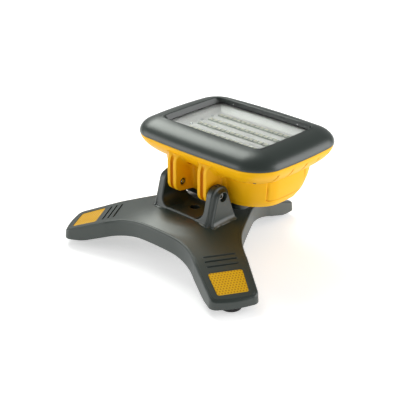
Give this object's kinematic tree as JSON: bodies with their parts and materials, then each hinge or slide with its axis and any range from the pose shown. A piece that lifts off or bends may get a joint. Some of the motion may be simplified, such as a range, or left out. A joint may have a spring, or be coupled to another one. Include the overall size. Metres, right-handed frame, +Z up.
{
  "type": "folding LED work and warning light",
  "caption": "Rechargeable rectangular LED flood light with a yellow housing, hinged in a yoke on a dark three-legged base with amber reflectors and rubber feet.",
  "frame": {"origin": "middle of the part's footprint, on the ground under the feet", "axes": "+Z up, +Y from the hinge towards the rear leg and the head's far end, +X to the right along the hinge's axis"},
  "size_m": [0.3152, 0.2764, 0.1552],
  "materials": {
    "dark_shell": "satin moulded plastic, dark slate grey",
    "yellow_shell": "semi-gloss moulded plastic, warm yellow",
    "amber_reflector": "glossy prismatic reflector with a fine honeycomb",
    "rubber": "matt black rubber",
    "brass": "turned brass",
    "steel": "zinc-plated steel",
    "black_plastic": "matt black moulded plastic",
    "clear_window": "clear, flat, glossy",
    "white_tray": "glossy white moulded reflector",
    "lamp_phosphor": "pale yellow lamp resin, unlit",
    "lamp_board": "white solder mask on an aluminium board",
    "aluminium": "extruded, bead blasted",
    "cell_wrap": "plastic sleeve over a metal can",
    "circuit_board": "green solder mask"
  },
  "bodies": {
    "base": {"base_shell": "dark_shell", "reflector_panel_1": "amber_reflector", "reflector_panel_2": "amber_reflector", "reflector_panel_3": "amber_reflector", "rubber_foot_1": "rubber", "rubber_foot_2": "rubber", "rubber_foot_3": "rubber", "thread_bush": "brass", "pivot_bolt_left": "steel", "pivot_bolt_right": "steel", "pivot_nut_left": "steel", "pivot_nut_right": "steel", "friction_washer_left": "black_plastic", "friction_washer_right": "black_plastic"},
    "head": {"rear_housing": "yellow_shell", "bezel": "dark_shell", "window_gasket": "rubber", "window_lens": "clear_window", "reflector_tray": "white_tray", "led_row_1": "lamp_phosphor", "led_row_2": "lamp_phosphor", "led_row_3": "lamp_phosphor", "led_row_4": "lamp_phosphor", "led_board": "lamp_board", "heat_sink": "aluminium", "tray_screw_1": "steel", "tray_screw_2": "steel", "tray_screw_3": "steel", "tray_screw_4": "steel", "tray_screw_5": "steel", "tray_screw_6": "steel", "housing_screw_1": "steel", "housing_screw_2": "steel", "housing_screw_3": "steel", "housing_screw_4": "steel", "housing_screw_5": "steel", "housing_screw_6": "steel", "housing_screw_7": "steel", "housing_screw_8": "steel", "battery_cover": "dark_shell", "cover_screw_1": "steel", "cover_screw_2": "steel", "cover_screw_3": "steel", "cover_screw_4": "steel", "cell_holder": "black_plastic", "battery_cell_1": "cell_wrap", "battery_cell_2": "cell_wrap", "battery_cell_3": "cell_wrap", "battery_cell_4": "cell_wrap", "driver_board": "circuit_board", "switch_module": "black_plastic", "charge_socket": "black_plastic", "charge_cover_pin": "steel"},
    "power_button": {"power_button": "rubber"},
    "charge_cover": {"charge_cover": "rubber"}
  },
  "joints": [
    {"name": "head_tilt", "type": "hinge", "parent": "base", "child": "head", "pos_m": [0, -0.03376, 0.0906], "axis": [1, 0, 0], "range_deg": [0, 110]},
    {"name": "power_button_press", "type": "slide", "parent": "head", "child": "power_button", "axis": [0, -1, 0], "range_m": [0, 0.0015], "stiffness_N_per_m": 800},
    {"name": "charge_cover_flip", "type": "hinge", "parent": "head", "child": "charge_cover", "pos_m": [-0.098, 0.04775, 0.1046], "axis": [0, 1, 0], "range_deg": [0, 110]}
  ]
}
